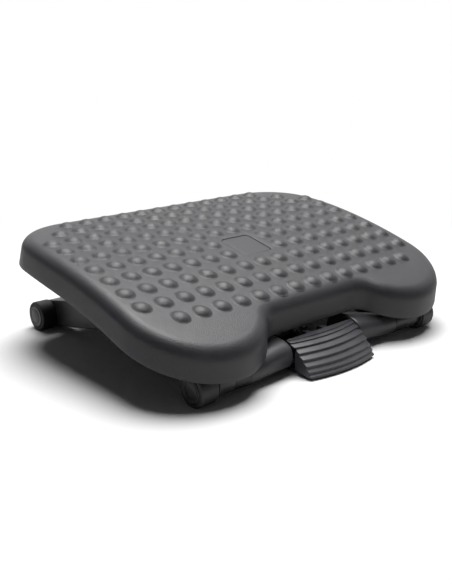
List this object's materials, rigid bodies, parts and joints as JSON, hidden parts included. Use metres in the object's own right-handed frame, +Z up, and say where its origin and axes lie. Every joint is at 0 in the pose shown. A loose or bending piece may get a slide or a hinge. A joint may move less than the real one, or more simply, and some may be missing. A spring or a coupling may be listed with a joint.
{
  "type": "tilting under-desk footrest",
  "caption": "Tilting under-desk footrest: arched deck with massage domes on folding arms, set to height by a stepped foot pedal at the front.",
  "frame": {"origin": "on the floor, under the middle of the whole footrest's box", "axes": "+X along the deck to the user's right, +Y to the rear, away from the user, +Z up"},
  "size_m": [0.4452, 0.345, 0.1292],
  "materials": {
    "deck_plastic": "fine moulded texture, satin",
    "badge_plastic": "smooth, satin",
    "pedal_plastic": "moulded ribs, satin",
    "frame_plastic": "moulded, satin",
    "foot_rubber": "matte",
    "plug_plastic": "satin",
    "black_steel": "powder coated",
    "bright_steel": "zinc plated",
    "bush_plastic": "natural nylon"
  },
  "bodies": {
    "base": {"front_tube": "bright_steel", "front_sleeve_left": "frame_plastic", "front_sleeve_right": "frame_plastic", "front_foot_left": "foot_rubber", "front_foot_right": "foot_rubber", "front_foot_plug_left": "plug_plastic", "front_foot_plug_right": "plug_plastic", "pedal_housing_left": "frame_plastic", "pedal_housing_right": "frame_plastic", "base_tray": "frame_plastic", "guide_cover": "frame_plastic", "guide_cover_screws": "bright_steel", "housing_screws": "bright_steel", "pedal_pin": "bright_steel", "lock_spring": "bright_steel"},
    "pedal": {"pedal": "pedal_plastic"},
    "lock_slider": {"lock_bolt": "frame_plastic"},
    "front_arms": {"front_arm_left": "black_steel", "front_arm_right": "black_steel", "front_hub_bush_left": "bush_plastic", "front_hub_bush_right": "bush_plastic", "front_axle_bush_left": "bush_plastic", "front_axle_bush_right": "bush_plastic", "cross_tube": "black_steel", "lock_sector": "bright_steel"},
    "axle_set": {"axle": "bright_steel", "stop_collar_left": "black_steel", "stop_collar_right": "black_steel", "tilt_stop_pins": "bright_steel", "friction_washers": "bush_plastic", "inner_spacer_left": "bright_steel", "inner_spacer_right": "bright_steel", "outer_spacer_left": "bright_steel", "outer_spacer_right": "bright_steel", "axle_washers": "bright_steel", "axle_nuts": "bright_steel"},
    "rear_legs": {"rear_arm_left": "frame_plastic", "rear_arm_right": "frame_plastic", "rear_axle_bush_left": "bush_plastic", "rear_axle_bush_right": "bush_plastic", "rear_tube": "bright_steel", "rear_foot_left": "foot_rubber", "rear_foot_right": "foot_rubber", "rear_foot_plug_left": "plug_plastic", "rear_foot_plug_right": "plug_plastic", "rear_set_screws": "bright_steel"},
    "deck": {"deck_shell": "deck_plastic", "badge_plate": "badge_plastic", "deck_bracket_left": "black_steel", "deck_bracket_right": "black_steel", "bracket_screws": "bright_steel", "deck_bush_left": "bush_plastic", "deck_bush_right": "bush_plastic"}
  },
  "joints": [
    {"name": "height_fold", "type": "hinge", "parent": "base", "child": "front_arms", "pos_m": [0, -0.1335, 0.017], "axis": [1, 0, 0], "range_deg": [0, 17]},
    {"name": "axle_level", "type": "hinge", "parent": "front_arms", "child": "axle_set", "pos_m": [0, 0.011, 0.047], "axis": [1, 0, 0], "range_deg": [-17, 0]},
    {"name": "rear_fold", "type": "hinge", "parent": "axle_set", "child": "rear_legs", "pos_m": [0, 0.011, 0.047], "axis": [1, 0, 0], "range_deg": [-17, 0]},
    {"name": "deck_tilt", "type": "hinge", "parent": "axle_set", "child": "deck", "pos_m": [0, 0.011, 0.047], "axis": [1, 0, 0], "range_deg": [-21.4, 0]},
    {"name": "pedal_press", "type": "hinge", "parent": "base", "child": "pedal", "pos_m": [0, -0.1615, 0.0062], "axis": [-1, 0, 0], "range_deg": [0, 8], "stiffness_Nm_per_rad": 0.6, "springref_deg": -11.46},
    {"name": "lock_slide", "type": "slide", "parent": "base", "child": "lock_slider", "axis": [0, 1, 0], "range_m": [0, 0.00297], "deforming": ["lock_spring"]}
  ],
  "couplings": [
    {"joint": "axle_level", "follows": "height_fold", "ratio": -1},
    {"joint": "rear_fold", "follows": "height_fold", "ratio": -1},
    {"joint": "lock_slide", "follows": "pedal_press", "m_per_rad": 0.021269}
  ]
}
